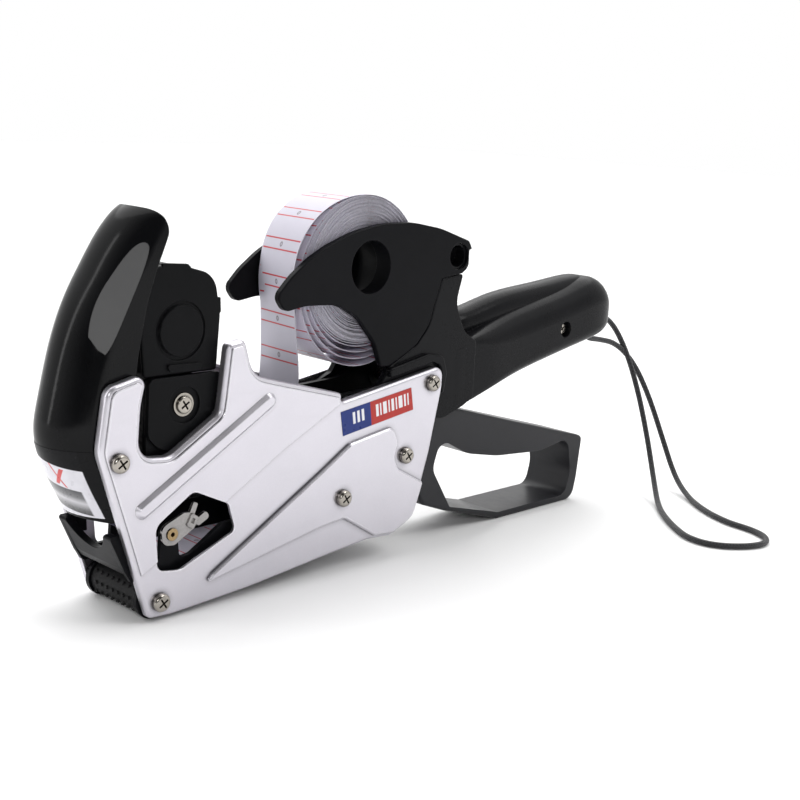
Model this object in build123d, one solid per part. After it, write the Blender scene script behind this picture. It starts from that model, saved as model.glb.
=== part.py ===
from build123d import *
import os, math

# Price labeling gun.
# Frame: the nose points to -X, the handle to +X, the user's left side is -Y, +Z is up.
# Origin: middle of the bounding box in X and Y, on the surface the gun stands on. Millimetres.

# ---- driving dimensions ----
HALF_W = 17.0        # outer faces of the side plates
PLATE_T = 1.0        # sheet thickness
RIM = 3.0            # depth of the bent rim
ARM_IN, ARM_OUT = 11.4, 13.6      # roll arms
CHEEK_IN, CHEEK_OUT = 11.2, 13.7  # body shell cheeks between the plates
HANDLE_HW = 12.6
TRIG_HW = 10.4
STRIP_HW = 10.5      # label strip 21 mm wide
STRIP_T = 0.3
ROLL_R = 24.6
CORE_RO, CORE_RI = 13.4, 12.0
HUB_RO, HUB_RI = 10.2, 8.8
HUB = (-12.5, 100.8)
ROLL = (-12.5, 99.2)
PIN_A = (-111.6, 51.1)   # ink holder shaft
PIN_B = (-97.0, 6.2)     # applicator roller shaft
PIN_C = (-25.9, 26.0)    # lower spacer
PIN_D = (3.8, 35.7)      # trigger shaft
PIN_E = (15.4, 59.7)     # print arm shaft
PIN_P = (-108.3, 38.0)   # front cover hinge
LINK_T = (-21.2, 40.7)   # drive link, trigger end
LINK_A = (-24.0, 53.6)   # drive link, arm end
KNOB = (-86.9, 86.0)     # selector axis
BAND_LOW = (-93.0, 37.8)
INK = (-103.6, 32.4)
GUIDE = (-47.7, 21.0)
FEED = (-70.0, 8.2)
GATE = (-34.6, 9.2)
LEVER = (-91.6, 25.6)
PAWL = (-79.6, 28.6)
CAP_R, RUB_R, NUB = 6.2, 5.35, 0.6
STRAP_D = 2.2

os.makedirs("parts", exist_ok=True)
NODES = {}

# ---- helpers ----
def outline(pts, y):
    """Closed face in the plane Y=y from (x, z, corner radius) points."""
    P = [(p[0], p[1], (p[2] if len(p) > 2 else 0.0)) for p in pts]
    n = len(P)
    ins, outs, mids = [], [], []
    for i in range(n):
        ax, az, _ = P[i - 1]; bx, bz, r = P[i]; cx, cz, _ = P[(i + 1) % n]
        ux, uz = ax - bx, az - bz; vx, vz = cx - bx, cz - bz
        lu, lv = math.hypot(ux, uz), math.hypot(vx, vz)
        ux, uz, vx, vz = ux / lu, uz / lu, vx / lv, vz / lv
        c = max(-1.0, min(1.0, ux * vx + uz * vz)); a = math.acos(c)
        if r <= 0 or math.pi - a < 0.02:
            ins.append((bx, bz)); outs.append((bx, bz)); mids.append(None); continue
        t = r / math.tan(a / 2)
        m = 0.47 * min(lu, lv)
        if t > m:
            t = m; r = t * math.tan(a / 2)
        bxn, bzn = ux + vx, uz + vz; lb = math.hypot(bxn, bzn)
        d = r / math.sin(a / 2)
        ox, oz = bx + bxn / lb * d, bz + bzn / lb * d
        ins.append((bx + ux * t, bz + uz * t)); outs.append((bx + vx * t, bz + vz * t))
        mids.append((ox - bxn / lb * r, oz - bzn / lb * r))
    edges = []
    for i in range(n):
        if mids[i] is not None:
            edges.append(Edge.make_three_point_arc(
                (ins[i][0], y, ins[i][1]), (mids[i][0], y, mids[i][1]), (outs[i][0], y, outs[i][1])))
        j = (i + 1) % n
        if math.hypot(outs[i][0] - ins[j][0], outs[i][1] - ins[j][1]) > 1e-6:
            edges.append(Edge.make_line((outs[i][0], y, outs[i][1]), (ins[j][0], y, ins[j][1])))
    return Face(Wire(edges))


def prism(pts, y0, y1):
    return Solid.extrude(outline(pts, y0), Vector(0, y1 - y0, 0))


def both(pts, y0, y1):
    """The same prism on both sides of the mid-plane."""
    return prism(pts, y0, y1) + prism(pts, -y1, -y0)


def cyl(c, r, y0, y1):
    return Solid.make_cylinder(r, y1 - y0, Plane(origin=(c[0], y0, c[1]), z_dir=(0, 1, 0)))


def tube(c, ro, ri, y0, y1):
    return cyl(c, ro, y0, y1) - cyl(c, ri, y0 - 0.1, y1 + 0.1)


def box(x0, x1, y0, y1, z0, z1):
    return Pos((x0 + x1) / 2, (y0 + y1) / 2, (z0 + z1) / 2) * Box(x1 - x0, y1 - y0, z1 - z0)


def edges_at_y(s, y, tol=0.01):
    return [e for e in s.edges() if abs(e.bounding_box().min.Y - y) < tol and abs(e.bounding_box().max.Y - y) < tol]


def soft(s, y, r):
    """Rounds the edges lying in the plane Y=y."""
    for k in (1.0, 0.7, 0.45):
        try:
            t = s.fillet(r * k, edges_at_y(s, y))
            if t.is_valid:
                return t
        except Exception:
            pass
    print("  soft failed at", y, r)
    return s


def bevel(s, y, c):
    for k in (1.0, 0.7, 0.4):
        try:
            t = s.chamfer(c * k, None, edges_at_y(s, y))
            if t.is_valid:
                return t
        except Exception:
            pass
    print("  bevel failed at", y, c)
    return s


def one(s):
    """A single solid out of a result."""
    ss = s.solids() if hasattr(s, "solids") else [s]
    if len(ss) != 1:
        print("  not one solid:", len(ss), [round(q.volume, 2) for q in ss])
    return max(ss, key=lambda q: q.volume)


def add(name, *solids):
    out = []
    for s in solids:
        out += list(s.solids())
    NODES[name] = out


def mirror_y(s):
    return s.mirror(Plane.XZ)


def rot_about(c, deg, s):
    """Turns a solid about an axis along -Y through c (x towards z is positive)."""
    return s.rotate(Axis((c[0], 0, c[1]), (0, -1, 0)), deg)


# ---- side plates: shallow trays with bent rims ----
PLATE = [(-100.9, 1.4, 2.5), (-92.5, 1.0, 12), (-62.5, 3.0, 40), (-28.0, 6.9, 40), (-12.0, 8.4, 8), (-1.0, 7.7, 9),
         (8.6, 11.8, 8), (12.9, 24.5, 14), (16.2, 35.5, 30), (20.9, 57.0, 20), (21.2, 65.3, 4.5), (-26.7, 58.0, 1.3),
         (-26.3, 60.9, 1.3), (-54.3, 68.4, 14), (-63.2, 71.0, 9), (-66.7, 82.3, 2.0), (-73.2, 81.5, 2.0), (-75.1, 66.0, 25),
         (-76.0, 60.6, 4.0), (-93.8, 50.0, 5.5), (-104.6, 51.2, 6.5), (-103.6, 66.5, 20), (-101.3, 75.9, 3.0),
         (-114.9, 72.7, 4.2), (-117.7, 54.2, 9.0), (-107.0, 21.2, 30)]
WINDOW = [(-99.2, 29.8, 4.0), (-98.0, 15.8, 3.0), (-90.0, 14.6, 4.0), (-69.3, 23.0, 2.2), (-72.0, 32.0, 2.5), (-85.6, 38.4, 3.2)]


def side_plate():
    f = prism(PLATE, -HALF_W, -HALF_W + RIM)
    f = soft(f, -HALF_W, 1.25)
    pocket = one(offset_prism(PLATE, PLATE_T, -HALF_W + PLATE_T, -HALF_W + RIM + 0.1))
    s = f - pocket
    # upper-left field stands 0.4 proud, along a crease
    upper = one(offset_prism(PLATE, 1.5, -HALF_W - 0.55, -HALF_W + 0.3))
    half = prism([(-140, 100), (40, 100), (-26.6, 59.6), (-26.7, 58.0), (-51.0, 45.8), (-73.9, 32.6), (-98.1, 18.9), (-112.0, 11.2), (-140, -5)], -18.5, -16)
    field = one(upper & half)
    s = s + bevel(field, -HALF_W - 0.55, 0.5)
    # upper bead
    bead = prism(capsule((-57.6, 62.4), (-103.6, 35.6), 2.5), -HALF_W - 1.7, -HALF_W + 0.2)
    s = s + soft(bevel(bead, -HALF_W - 1.7, 1.1), -HALF_W - 1.7, 0.4)
    # raised rear panel
    pan = [(-80.9, 8.6, 1.6), (-78.4, 11.2, 1.4), (-35.6, 36.0, 6), (-22.6, 43.9, 3), (-3.8, 46.9, 2.5), (-0.6, 41.0, 3), (-2.4, 36.5, 4),
           (-0.4, 31.8, 2.5), (12.2, 25.0, 0.8), (11.2, 22.0, 6), (7.9, 13.2, 6), (-1.2, 9.2, 6), (-10.0, 9.7, 1.0), (-24.6, 18.6, 4), (-34.5, 17.6, 8)]
    panel = prism(pan, -HALF_W - 1.35, -HALF_W + 0.2)
    s = s + bevel(panel, -HALF_W - 1.35, 1.25)
    s = s - prism(WINDOW, -HALF_W - 3, -HALF_W + 3.1)
    for c in (PIN_A, PIN_B, PIN_C, PIN_D, PIN_E):
        s = s - cyl(c, 1.65, -HALF_W - 3, -HALF_W + 3.1)
    return one(s)


def offset_prism(pts, d, y0, y1):
    """Prism of the outline moved inwards by d."""
    f = outline(pts, y0)
    w = f.outer_wire().offset_2d(-d)
    if isinstance(w, (list, tuple, ShapeList)):
        w = max(w, key=lambda q: q.length)
    g = Face(Wire(w.edges()))
    return Solid.extrude(g, Vector(0, y1 - y0, 0))


def capsule(a, b, r):
    dx, dz = b[0] - a[0], b[1] - a[1]; l = math.hypot(dx, dz); ux, uz = dx / l, dz / l
    nx, nz = -uz, ux
    e = 0.999 * r
    return [(a[0] - ux * r + nx * r, a[1] - uz * r + nz * r, e), (b[0] + ux * r + nx * r, b[1] + uz * r + nz * r, e),
            (b[0] + ux * r - nx * r, b[1] + uz * r - nz * r, e), (a[0] - ux * r - nx * r, a[1] - uz * r - nz * r, e)]


left_plate = side_plate()
add("side_plate_left", left_plate)
add("side_plate_right", mirror_y(left_plate))


# ---- screws and shafts ----
def screw(c, y_seat, head_r=2.85, head_h=2.0, shank_r=1.4, shank_l=6.0, side=-1):
    """Pan head with a cross recess; the head stands outwards from y_seat."""
    h = Solid.make_cylinder(head_r, head_h, Plane(origin=(c[0], 0, c[1]), z_dir=(0, -1, 0)))
    try:
        top = [e for e in h.edges() if abs(e.bounding_box().max.Y + head_h) < 0.01]
        h = h.fillet(head_h * 0.55, top)
    except Exception:
        pass
    a = 0.55
    cross = box(c[0] - head_r * 0.62, c[0] + head_r * 0.62, -head_h - 0.5, -head_h + 1.1, c[1] - a / 2, c[1] + a / 2)
    cross = cross + box(c[0] - a / 2, c[0] + a / 2, -head_h - 0.5, -head_h + 1.1, c[1] - head_r * 0.62, c[1] + head_r * 0.62)
    cross = rot_about(c, 32, cross)
    h = h - cross
    s = one(h + cyl(c, shank_r, -0.05, shank_l))
    s = s.moved(Location((0, y_seat, 0)))
    return s


seats = {"a": (PIN_A, -17.55), "b": (PIN_B, -17.0), "c": (PIN_C, -18.35), "d": (PIN_D, -17.0), "e": (PIN_E, -17.0)}
heads = [screw(c, y) for c, y in seats.values()]
add("plate_screws", *(heads + [mirror_y(h) for h in heads]))


def shaft(c, r):
    s = cyl(c, r, -16.0, 16.0)
    for sg in (-1, 1):
        s = s - (cyl(c, 1.45, -16.1, -10.8) if sg < 0 else cyl(c, 1.45, 10.8, 16.1))
    return one(s)


add("ink_holder_shaft", shaft(PIN_A, 2.4))
add("roller_shaft", shaft(PIN_B, 2.4))
add("lower_spacer", shaft(PIN_C, 2.8))
add("trigger_shaft", shaft(PIN_D, 2.9))
add("print_arm_shaft", shaft(PIN_E, 2.9))

# ---- body shell, two halves: cheeks between the plates, neck, and handle ----
CHEEK = [(-16.5, 57.0, 2), (-16.5, 14.0, 4), (6.5, 14.0, 4), (10.2, 24.0, 6), (13.6, 35.0, 10), (17.6, 46.0, 4), (26.0, 45.2, 4),
         (36.0, 48.4, 4), (41.0, 51.0, 1), (41.0, 71.6, 1), (34.6, 75.4, 7), (29.4, 86.0, 9), (32.4, 96.2, 0.8),
         (21.6, 95.0, 0.8), (18.4, 85.9, 12), (16.4, 79.4, 12), (10.4, 72.9, 8), (4.0, 69.6, 6), (-2.2, 66.6, 2), (-6.0, 60.9, 2)]
# grip sections: x, bottom, top, half width, lower and upper corner radius
GRIP = [(30.0, 46.6, 70.6, CHEEK_OUT - 0.02, 1.5, 1.5), (37.0, 48.5, 71.8, CHEEK_OUT - 0.02, 1.8, 1.8), (43.0, 50.1, 73.2, CHEEK_OUT - 0.04, 2.2, 3.0), (52.0, 52.5, 75.6, 13.7, 3.0, 6.5), (64.0, 55.6, 78.9, 13.3, 3.8, 9.0),
        (84.0, 59.8, 83.0, 13.0, 4.4, 9.6), (102.0, 63.3, 86.8, 12.9, 4.5, 9.8), (112.0, 65.2, 89.2, 12.8, 4.5, 10.2), (118.0, 66.4, 89.2, 12.2, 4.5, 10.0), (122.4, 67.6, 87.4, 10.9, 4.4, 9.0), (125.4, 69.2, 84.0, 8.8, 4.0, 6.8),
        (126.5, 71.2, 81.2, 6.4, 3.0, 4.2)]
RIDGE = [(36.8, 71.0, 77.4, 3.2, 2.6), (38.2, 70.5, 79.3, 4.9, 4.2), (41.0, 70.4, 80.6, 6.0, 5.2), (46.0, 71.0, 81.6, 6.4, 5.6), (62.0, 73.6, 85.2, 6.5, 5.8), (84.0, 76.0, 87.8, 6.5, 5.8),
         (98.0, 77.4, 89.2, 6.4, 5.8), (108.0, 78.0, 90.1, 6.0, 5.4), (115.0, 78.0, 89.5, 5.2, 4.6), (119.0, 77.6, 87.4, 4.2, 3.6)]
HOLLOW = [(46.0, 57.2, 2), (64.0, 60.6, 20), (100.0, 67.2, 40), (116.0, 70.2, 2), (117.0, 80.0, 4), (100.0, 79.6, 20), (66.0, 75.6, 20), (46.0, 69.6, 3)]
THROAT = [(20.0, 30.0), (60.5, 30.0), (60.5, 56.6, 2), (44.0, 56.9, 2), (43.0, 66.5, 2), (20.0, 64.0, 2)]


def rounded_box(x, zb, zt, hw, rb, rt):
    """Wire of a rounded rectangle in the plane X=x."""
    c = 0.70710678
    e, P = [], []
    for sy, z, r, sz in ((-1, zb, rb, 1), (1, zb, rb, 1), (1, zt, rt, -1), (-1, zt, rt, -1)):
        cy, cz = sy * (hw - r), z + sz * r
        side, flat, mid = (x, sy * hw, cz), (x, cy, z), (x, cy + sy * r * c, cz - sz * r * c)
        P.append((side, mid, flat) if (sy < 0) == (sz > 0) else (flat, mid, side))
    for i in range(4):
        a, m, b = P[i]
        e.append(Edge.make_three_point_arc(a, m, b))
        e.append(Edge.make_line(b, P[(i + 1) % 4][0]))
    return Wire(e)


def body_left():
    h = Solid.make_loft([rounded_box(*q) for q in GRIP])
    sp = Solid.make_loft([rounded_box(x, zb, zt, hw, 0.6, r) for x, zb, zt, hw, r in RIDGE])
    h = h + sp
    h = h - prism(HOLLOW, -9.8, 9.8)
    h = h - prism(THROAT, -CHEEK_IN, CHEEK_IN)
    ch = soft(prism(CHEEK, -CHEEK_OUT, -CHEEK_IN), -CHEEK_OUT, 0.5)
    h = h + ch + mirror_y(ch)
    # rim standing proud beside the plates' rear top corner
    rim = prism([(-3.6, 66.2, 1), (15.0, 69.6, 2.5), (22.4, 68.4, 3.5), (24.6, 62.0, 3), (22.2, 50.0, 2), (21.6, 64.8, 4.0), (17.0, 66.6, 2), (-3.0, 63.2, 0.5)], -15.6, -13.4)
    rim = soft(rim, -15.6, 0.6)
    h = h + rim + mirror_y(rim)
    for c, r in ((PIN_D, 3.05), (PIN_E, 3.05)):
        h = h - cyl(c, r, -20, 20)
    # screw column and its recess
    col = cyl((93.4, 71.1), 3.6, -10.0, 10.0)
    h = h + col
    h = h - cyl((93.4, 71.1), 3.1, -13, -9.2) - cyl((93.4, 71.1), 1.55, -14, 7.0)
    # strap hole from the end face to the underside
    h = h - strap_hole()
    return h


def strap_hole():
    a, b = Vector(126.9, 0.0, 72.6), Vector(117.6, -2.2, 64.5)
    k = Vector(119.6, -0.8, 72.0)
    s1 = Solid.make_cylinder(1.8, (a - k).length + 1.2, Plane(origin=k - (a - k).normalized() * 0.6, z_dir=(a - k)))
    s2 = Solid.make_cylinder(1.8, (b - k).length + 2.2, Plane(origin=k - (b - k).normalized() * 0.6, z_dir=(b - k)))
    return s1 + s2 + Pos(k) * Sphere(1.8)


full = body_left()
half_l = box(-60, 160, -30, -0.02, -5, 140)
half_r = box(-60, 160, 0.02, 30, -5, 140)
add("body_shell_left", one(full & half_l))
add("body_shell_right", one(full & half_r))
hs = screw((93.4, 71.1), -9.2, head_r=2.8, head_h=1.9, shank_r=1.4, shank_l=15.0)
add("handle_screw", hs)

# ---- roll arms with hollow hubs ----
ARM = [(-52.2, 93.6, 3.0), (-46.5, 99.4, 20), (-39.4, 104.6, 30), (-32.0, 108.4, 30), (-21.0, 112.4, 40), (-8.0, 114.8, 40), (6.0, 114.9, 40),
       (20.0, 112.4, 40), (34.6, 107.6, 2.0), (36.4, 104.6, 0.6), (34.9, 104.4, 0.5), (35.0, 98.4, 3.5), (31.9, 96.35, 0.5),
       (21.6, 95.05, 0.8), (18.4, 85.95, 12), (16.4, 79.45, 12), (10.4, 72.95, 8), (4.0, 69.65, 6), (-2.2, 66.65, 2), (-6.0, 66.9, 1.0),
       (-9.4, 75.4, 14), (-17.6, 84.6, 12), (-27.0, 89.4, 16), (-40.0, 90.0, 20), (-48.6, 88.6, 3.5)]


def roll_arm():
    s = prism(ARM, -ARM_OUT, -ARM_IN)
    s = soft(s, -ARM_OUT, 1.1)
    s = s + tube(HUB, HUB_RO, HUB_RI, -ARM_IN - 0.2, -6.8)
    s = s - cyl(HUB, HUB_RI, -20, -8.0)
    s = s - cyl(HUB, 5.2, -9, -7.3)
    s = s - cyl((29.6, 102.4), 4.7, -20, -5)
    return one(s)


arm_l = roll_arm()
add("arm_spacer", one(tube((29.6, 102.4), 4.6, 3.8, -12.6, 12.6) + cyl((29.6, 102.4), 4.6, -8.0, 8.0)))
add("roll_arm_left", arm_l)
add("roll_arm_right", mirror_y(arm_l))

# ---- label roll, core, strip ----
add("label_roll", tube(ROLL, ROLL_R, CORE_RO, -STRIP_HW, STRIP_HW))
add("roll_core", tube(ROLL, CORE_RO, CORE_RI, -STRIP_HW, STRIP_HW))


def ribbon(route, t, y0, y1, r_in):
    """Bent strip of thickness t along (x, z, radius) points, by joining straight slabs and bend sectors."""
    n = len(route)
    edges = []
    P = [(p[0], p[1]) for p in route]
    pts = []
    ins, outs, mids = [P[0]], [P[0]], [None]
    for i in range(1, n - 1):
        ax, az = P[i - 1]; bx, bz = P[i]; cx, cz = P[i + 1]; r = route[i][2]
        ux, uz = ax - bx, az - bz; vx, vz = cx - bx, cz - bz
        lu, lv = math.hypot(ux, uz), math.hypot(vx, vz); ux, uz, vx, vz = ux / lu, uz / lu, vx / lv, vz / lv
        a = math.acos(max(-1, min(1, ux * vx + uz * vz)))
        tt = r / math.tan(a / 2)
        bxn, bzn = ux + vx, uz + vz; lb = math.hypot(bxn, bzn); d = r / math.sin(a / 2)
        ox, oz = bx + bxn / lb * d, bz + bzn / lb * d
        ins.append((bx + ux * tt, bz + uz * tt)); outs.append((bx + vx * tt, bz + vz * tt))
        mids.append((ox - bxn / lb * r, oz - bzn / lb * r))
    ins.append(P[-1]); outs.append(P[-1]); mids.append(None)
    for i in range(n):
        if mids[i] is not None:
            edges.append(Edge.make_three_point_arc((ins[i][0], y0, ins[i][1]), (mids[i][0], y0, mids[i][1]), (outs[i][0], y0, outs[i][1])))
        if i + 1 < n:
            edges.append(Edge.make_line((outs[i][0], y0, outs[i][1]), (ins[i + 1][0], y0, ins[i + 1][1])))
    # a closed outline from the path moved half a thickness each way
    path = Wire(edges)
    a = path.offset_2d(t / 2, side=Side.BOTH)
    f = Face(Wire(a.edges()))
    return Solid.extrude(f, Vector(0, y1 - y0, 0))


# ROUTE: from the front of the roll down the slot, under the guide roller, along the platen,
# round the peel edge, back below the platen, over the feed wheel and out at the bottom
ROUTE = [(-41.2, 96.0), (-39.6, 67.0, 60), (-42.35, 15.5, 5.1), (-80.0, 15.55, 30), (-99.9, 15.4, 1.2), (-99.6, 12.9, 1.2), (-65.25, 13.0, 4.7), (-65.2, 2.6)]
add("label_strip", one(ribbon(ROUTE, STRIP_T, -STRIP_HW, STRIP_HW, 0)))

# ---- lower frame: nose wall with its rounded cut-out, side walls, platen seat ----
SIDE = [(-112.6, 28.3, 1.0), (-107.2, 16.6, 0), (-105.0, 13.0, 0.6), (-88.6, 12.9, 1.5), (-86.0, 4.6, 2), (-60.0, 5.4, 0), (-24.0, 10.0, 4), (-19.5, 26.0, 6),
        (-26.0, 32.4, 6), (-40.0, 28.2, 6), (-46.0, 27.2, 6), (-54.0, 25.6, 4), (-72.0, 25.0, 4), (-79.0, 20.6, 3), (-84.0, 17.6, 3), (-88.0, 17.2, 3), (-89.0, 28.0, 2.6), (-94.4, 28.0, 2.6), (-95.2, 17.2, 2), (-100.6, 17.0, 2), (-105.4, 19.0, 3), (-108.0, 28.3, 0.5)]


def lower_frame():
    s = both(SIDE, 12.3, 13.9)
    wall = [(-112.6, 28.3, 0.8), (-107.3, 17.2, 0.8), (-105.6, 14.8, 0.6), (-103.0, 14.6, 0.5), (-105.4, 18.2, 0.8), (-109.6, 28.3, 0.5)]
    w = prism(wall, -13.9, 13.9)
    cut = Solid.make_cylinder(11.2, 30, Plane(origin=(-122, 0.0, 32.6), z_dir=(1, 0, 0)))
    w = w - cut
    s = s + w
    # ears for the cover hinge, outboard of the cover
    ear = prism([(-110.5, 40.2, 2.2), (-110.4, 36.6, 1.5), (-106.6, 25.0, 0.4), (-103.4, 22.0, 0.4), (-103.6, 30.0, 2.0), (-105.9, 40.2, 2.2)], -14.7, -13.7)
    ear = ear + prism([(-106.7, 27.6, 0.3), (-105.8, 22.4, 0.3), (-103.4, 22.0, 0.3), (-103.6, 27.6, 0.3)], -14.7, -12.4)
    ear = ear + prism([(-109.6, 27.6, 0.3), (-107.0, 22.4, 0.3), (-103.4, 22.0, 0.3), (-103.6, 27.6, 0.3)], -13.85, -12.4)
    s = s + ear + mirror_y(ear)
    s = s - cyl(PIN_P, 1.3, -15.0, 15.0)
    # cross ribs under the strip
    s = s + box(-78.5, -76.5, -12.5, 12.5, 13.4, 14.9)
    s = s + box(-57.0, -54.0, -12.5, 12.5, 10.0, 12.0)
    s = s + box(-98.4, -78.0, 10.8, 12.4, 13.4, 15.1) + box(-98.4, -78.0, -12.4, -10.8, 13.4, 15.1)
    s = s - cyl(PIN_C, 2.85, -15, 15)
    s = s - cyl(GUIDE, 1.55, -15, 15) - cyl(FEED, 1.55, -15, 15) - cyl(GATE, 1.55, -15, 15)
    s = s - cyl(LEVER, 1.3, -15, 0)
    return one(s)


add("lower_frame", lower_frame())
add("hinge_pins", cyl(PIN_P, 1.25, -14.7, -12.0), cyl(PIN_P, 1.25, 12.0, 14.7))
add("platen", one(box(-98.3, -78.6, -10.7, 10.7, 13.5, 15.2)))
add("peel_plate", one(prism([(-99.0, 13.55), (-98.3, 13.5), (-98.3, 15.2), (-99.0, 15.1)], -10.7, 10.7)))

# ---- applicator roller ----
def applicator():
    s = cyl(PIN_B, RUB_R, -11.9, 11.9) - cyl(PIN_B, 2.9, -12, 12)
    nubs = None
    for k in range(10):
        a = math.radians(36 * k)
        for j in range(8):
            y = -10.2 + 2.9 * j + (1.45 if k % 2 else 0.0)
            if abs(y) > 10.9:
                continue
            p = Plane(origin=(PIN_B[0] + math.cos(a) * (RUB_R - 0.4), y, PIN_B[1] + math.sin(a) * (RUB_R - 0.4)), z_dir=(math.cos(a), 0, math.sin(a)))
            c = Solid.make_cone(0.78, 0.5, NUB + 0.4, p)
            nubs = c if nubs is None else nubs.fuse(c)
    return one(s + nubs)


add("applicator_roller", applicator())
caps = []
for sg in (-1, 1):
    y0, y1 = (11.9, 13.6) if sg > 0 else (-13.6, -11.9)
    c = tube(PIN_B, CAP_R, 2.65, y0, y1)
    c = c + (tube(PIN_B, 2.9, 2.65, 11.0, 12.0) if sg > 0 else tube(PIN_B, 2.9, 2.65, -12.0, -11.0))
    caps.append(one(c))
add("roller_end_caps", *caps)

# ---- print arm ----
WEB = [(-98.6, 72.8, 2.0), (-99.0, 55.5, 5), (-94.0, 51.0, 5), (-84.0, 52.0, 10), (-66.0, 56.0, 20), (-23.0, 50.5, 2), (-19.0, 50.8, 2), (-19.0, 58.6, 2), (-36.0, 60.2, 10),
       (-64.0, 66.0, 12), (-74.2, 72.8, 2.0)]
REAR = [(-23.0, 50.5, 2), (-6.0, 52.6, 10), (10.0, 54.2, 3), (22.0, 55.5, 5), (21.6, 65.4, 5), (10.0, 66.0, 4), (-4.0, 59.4, 12), (-23.0, 58.6, 2)]
BLOCK = [(-98.2, 72.6, 1), (-98.6, 56.0, 8), (-98.4, 40.0, 4), (-94.0, 35.2, 4), (-88.0, 37.0, 4), (-82.4, 56.0, 10), (-80.4, 72.6, 1)]


def print_arm():
    s = both(WEB, 11.3, 13.2)
    s = s + both([(-23.0, 50.5, 1), (-19.0, 50.8, 1), (-19.0, 58.6, 1), (-23.0, 58.6, 1)], 8.9, 13.2)
    s = s + both(REAR, 8.9, 10.9)
    s = s + both(BLOCK, 9.7, 11.5)
    s = s + cyl((-90.2, 60.0), 2.6, -11.0, 11.0)
    s = s + both([(PIN_E[0] - 6, PIN_E[1] - 6, 6), (PIN_E[0] + 6, PIN_E[1] - 6, 6), (PIN_E[0] + 6, PIN_E[1] + 6, 6), (PIN_E[0] - 6, PIN_E[1] + 6, 6)], 8.4, 10.9)
    s = s - cyl(PIN_E, 3.0, -14, 14)
    s = s - cyl(LINK_A, 1.55, -14, 14)
    # shallow round pocket and hole for the head screw
    s = s - cyl((-86.2, 64.0), 5.6, -13.3, -12.4) - cyl((-86.2, 64.0), 1.45, -13.3, -8.0)
    return one(s)


add("print_arm", print_arm())
add("head_screw_ring", one(tube((-86.2, 64.0), 3.55, 1.45, -12.9, -12.4)))
add("head_screw", screw((-86.2, 64.0), -12.9, head_r=2.6, head_h=0.9, shank_r=1.4, shank_l=3.6))

# ---- print head ----
HEAD = [(-99.6, 73.0, 1.5), (-101.2, 92.0, 20), (-98.6, 105.9, 7.0), (-84.0, 104.4, 8), (-74.6, 101.8, 8), (-72.4, 90.0, 10), (-73.6, 73.0, 1.0)]
CAVE = [(-98.2, 60.0), (-99.5, 92.0, 18), (-97.2, 104.1, 5.6), (-84.0, 102.7, 8), (-75.9, 100.4, 7), (-74.0, 90.0, 9), (-75.2, 60.0)]


def head_housing():
    s = prism(HEAD, -10.9, 12.0)
    s = soft(s, 12.0, 1.2)
    s = s - prism(CAVE, -12.1, 10.9)
    s = s - prism([(-98.5, 106.5), (-104, 100), (-104, 92.6), (-98.3, 92.6), (-93.4, 100.6), (-89.4, 101.4), (-89.4, 107.5)], -9.2, 9.2)
    s = s - cyl(KNOB, 2.3, 10, 13)
    return one(s)


def head_cover():
    s = prism(HEAD, -12.0, -10.95)
    s = soft(s, -12.0, 0.7)
    ring = tube(KNOB, 8.8, 7.7, -12.3, -11.5)
    s = s - ring
    boss = cyl(KNOB, 7.6, -12.7, -11.8)
    s = s + soft(boss, -12.7, 0.35)
    # lip on the top edge and a small step at the rear
    s = s + prism([(-93.6, 104.4, 0.3), (-93.2, 106.0, 0.5), (-84.6, 105.4, 0.5), (-83.0, 104.0, 0.3)], -12.0, -10.95)
    s = s + prism([(-74.4, 92.5, 0.3), (-74.0, 95.2, 0.3), (-72.6, 94.8, 0.3), (-72.4, 90.6, 0.3), (-73.2, 89.6, 0.3)], -12.0, -10.95)
    # small foot lip under the disc
    s = s + prism([(-92.2, 76.4, 0.6), (-91.0, 74.2, 0.6), (-80.4, 73.7, 0.6), (-79.4, 76.0, 0.6)], -12.9, -11.9)
    return one(s)


add("head_housing", head_housing())
add("head_side_cover", head_cover())
WIN = [(-101.0, 92.9, 0.3), (-100.3, 99.6, 3.0), (-97.6, 105.0, 3.5), (-89.7, 104.6, 0.3), (-89.7, 103.6, 0.3), (-96.6, 103.8, 2.8), (-99.2, 99.0, 3.0), (-99.9, 92.9, 0.3)]
add("head_window", one(prism(WIN, -9.0, 9.0)))

# print bands: endless belts from the selector wheels to the print face
def band(y0, y1):
    outer, inner = belt(6.5, 4.5), belt(5.75, 3.75)
    return one(Solid.extrude(Face(outer(y0)), Vector(0, y1 - y0, 0)) - Solid.extrude(Face(inner(y0 - 0.1)), Vector(0, y1 - y0 + 0.2, 0)))


def belt(R, r):
    ax, az = KNOB; bx, bz = BAND_LOW
    dx, dz = bx - ax, bz - az; L = math.hypot(dx, dz); th = math.atan2(dz, dx)
    al = math.acos((R - r) / L)

    def w(y):
        a1, a2 = th + al, th - al
        p = lambda c, q, a: (c[0] + q * math.cos(a), y, c[1] + q * math.sin(a))
        A1, A2, B1, B2 = p(KNOB, R, a1), p(KNOB, R, a2), p(BAND_LOW, r, a1), p(BAND_LOW, r, a2)
        e = [Edge.make_three_point_arc(A1, p(KNOB, R, th + math.pi), A2), Edge.make_line(A2, B2),
             Edge.make_three_point_arc(B2, p(BAND_LOW, r, th), B1), Edge.make_line(B1, A1)]
        return Wire(e)
    return w


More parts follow.
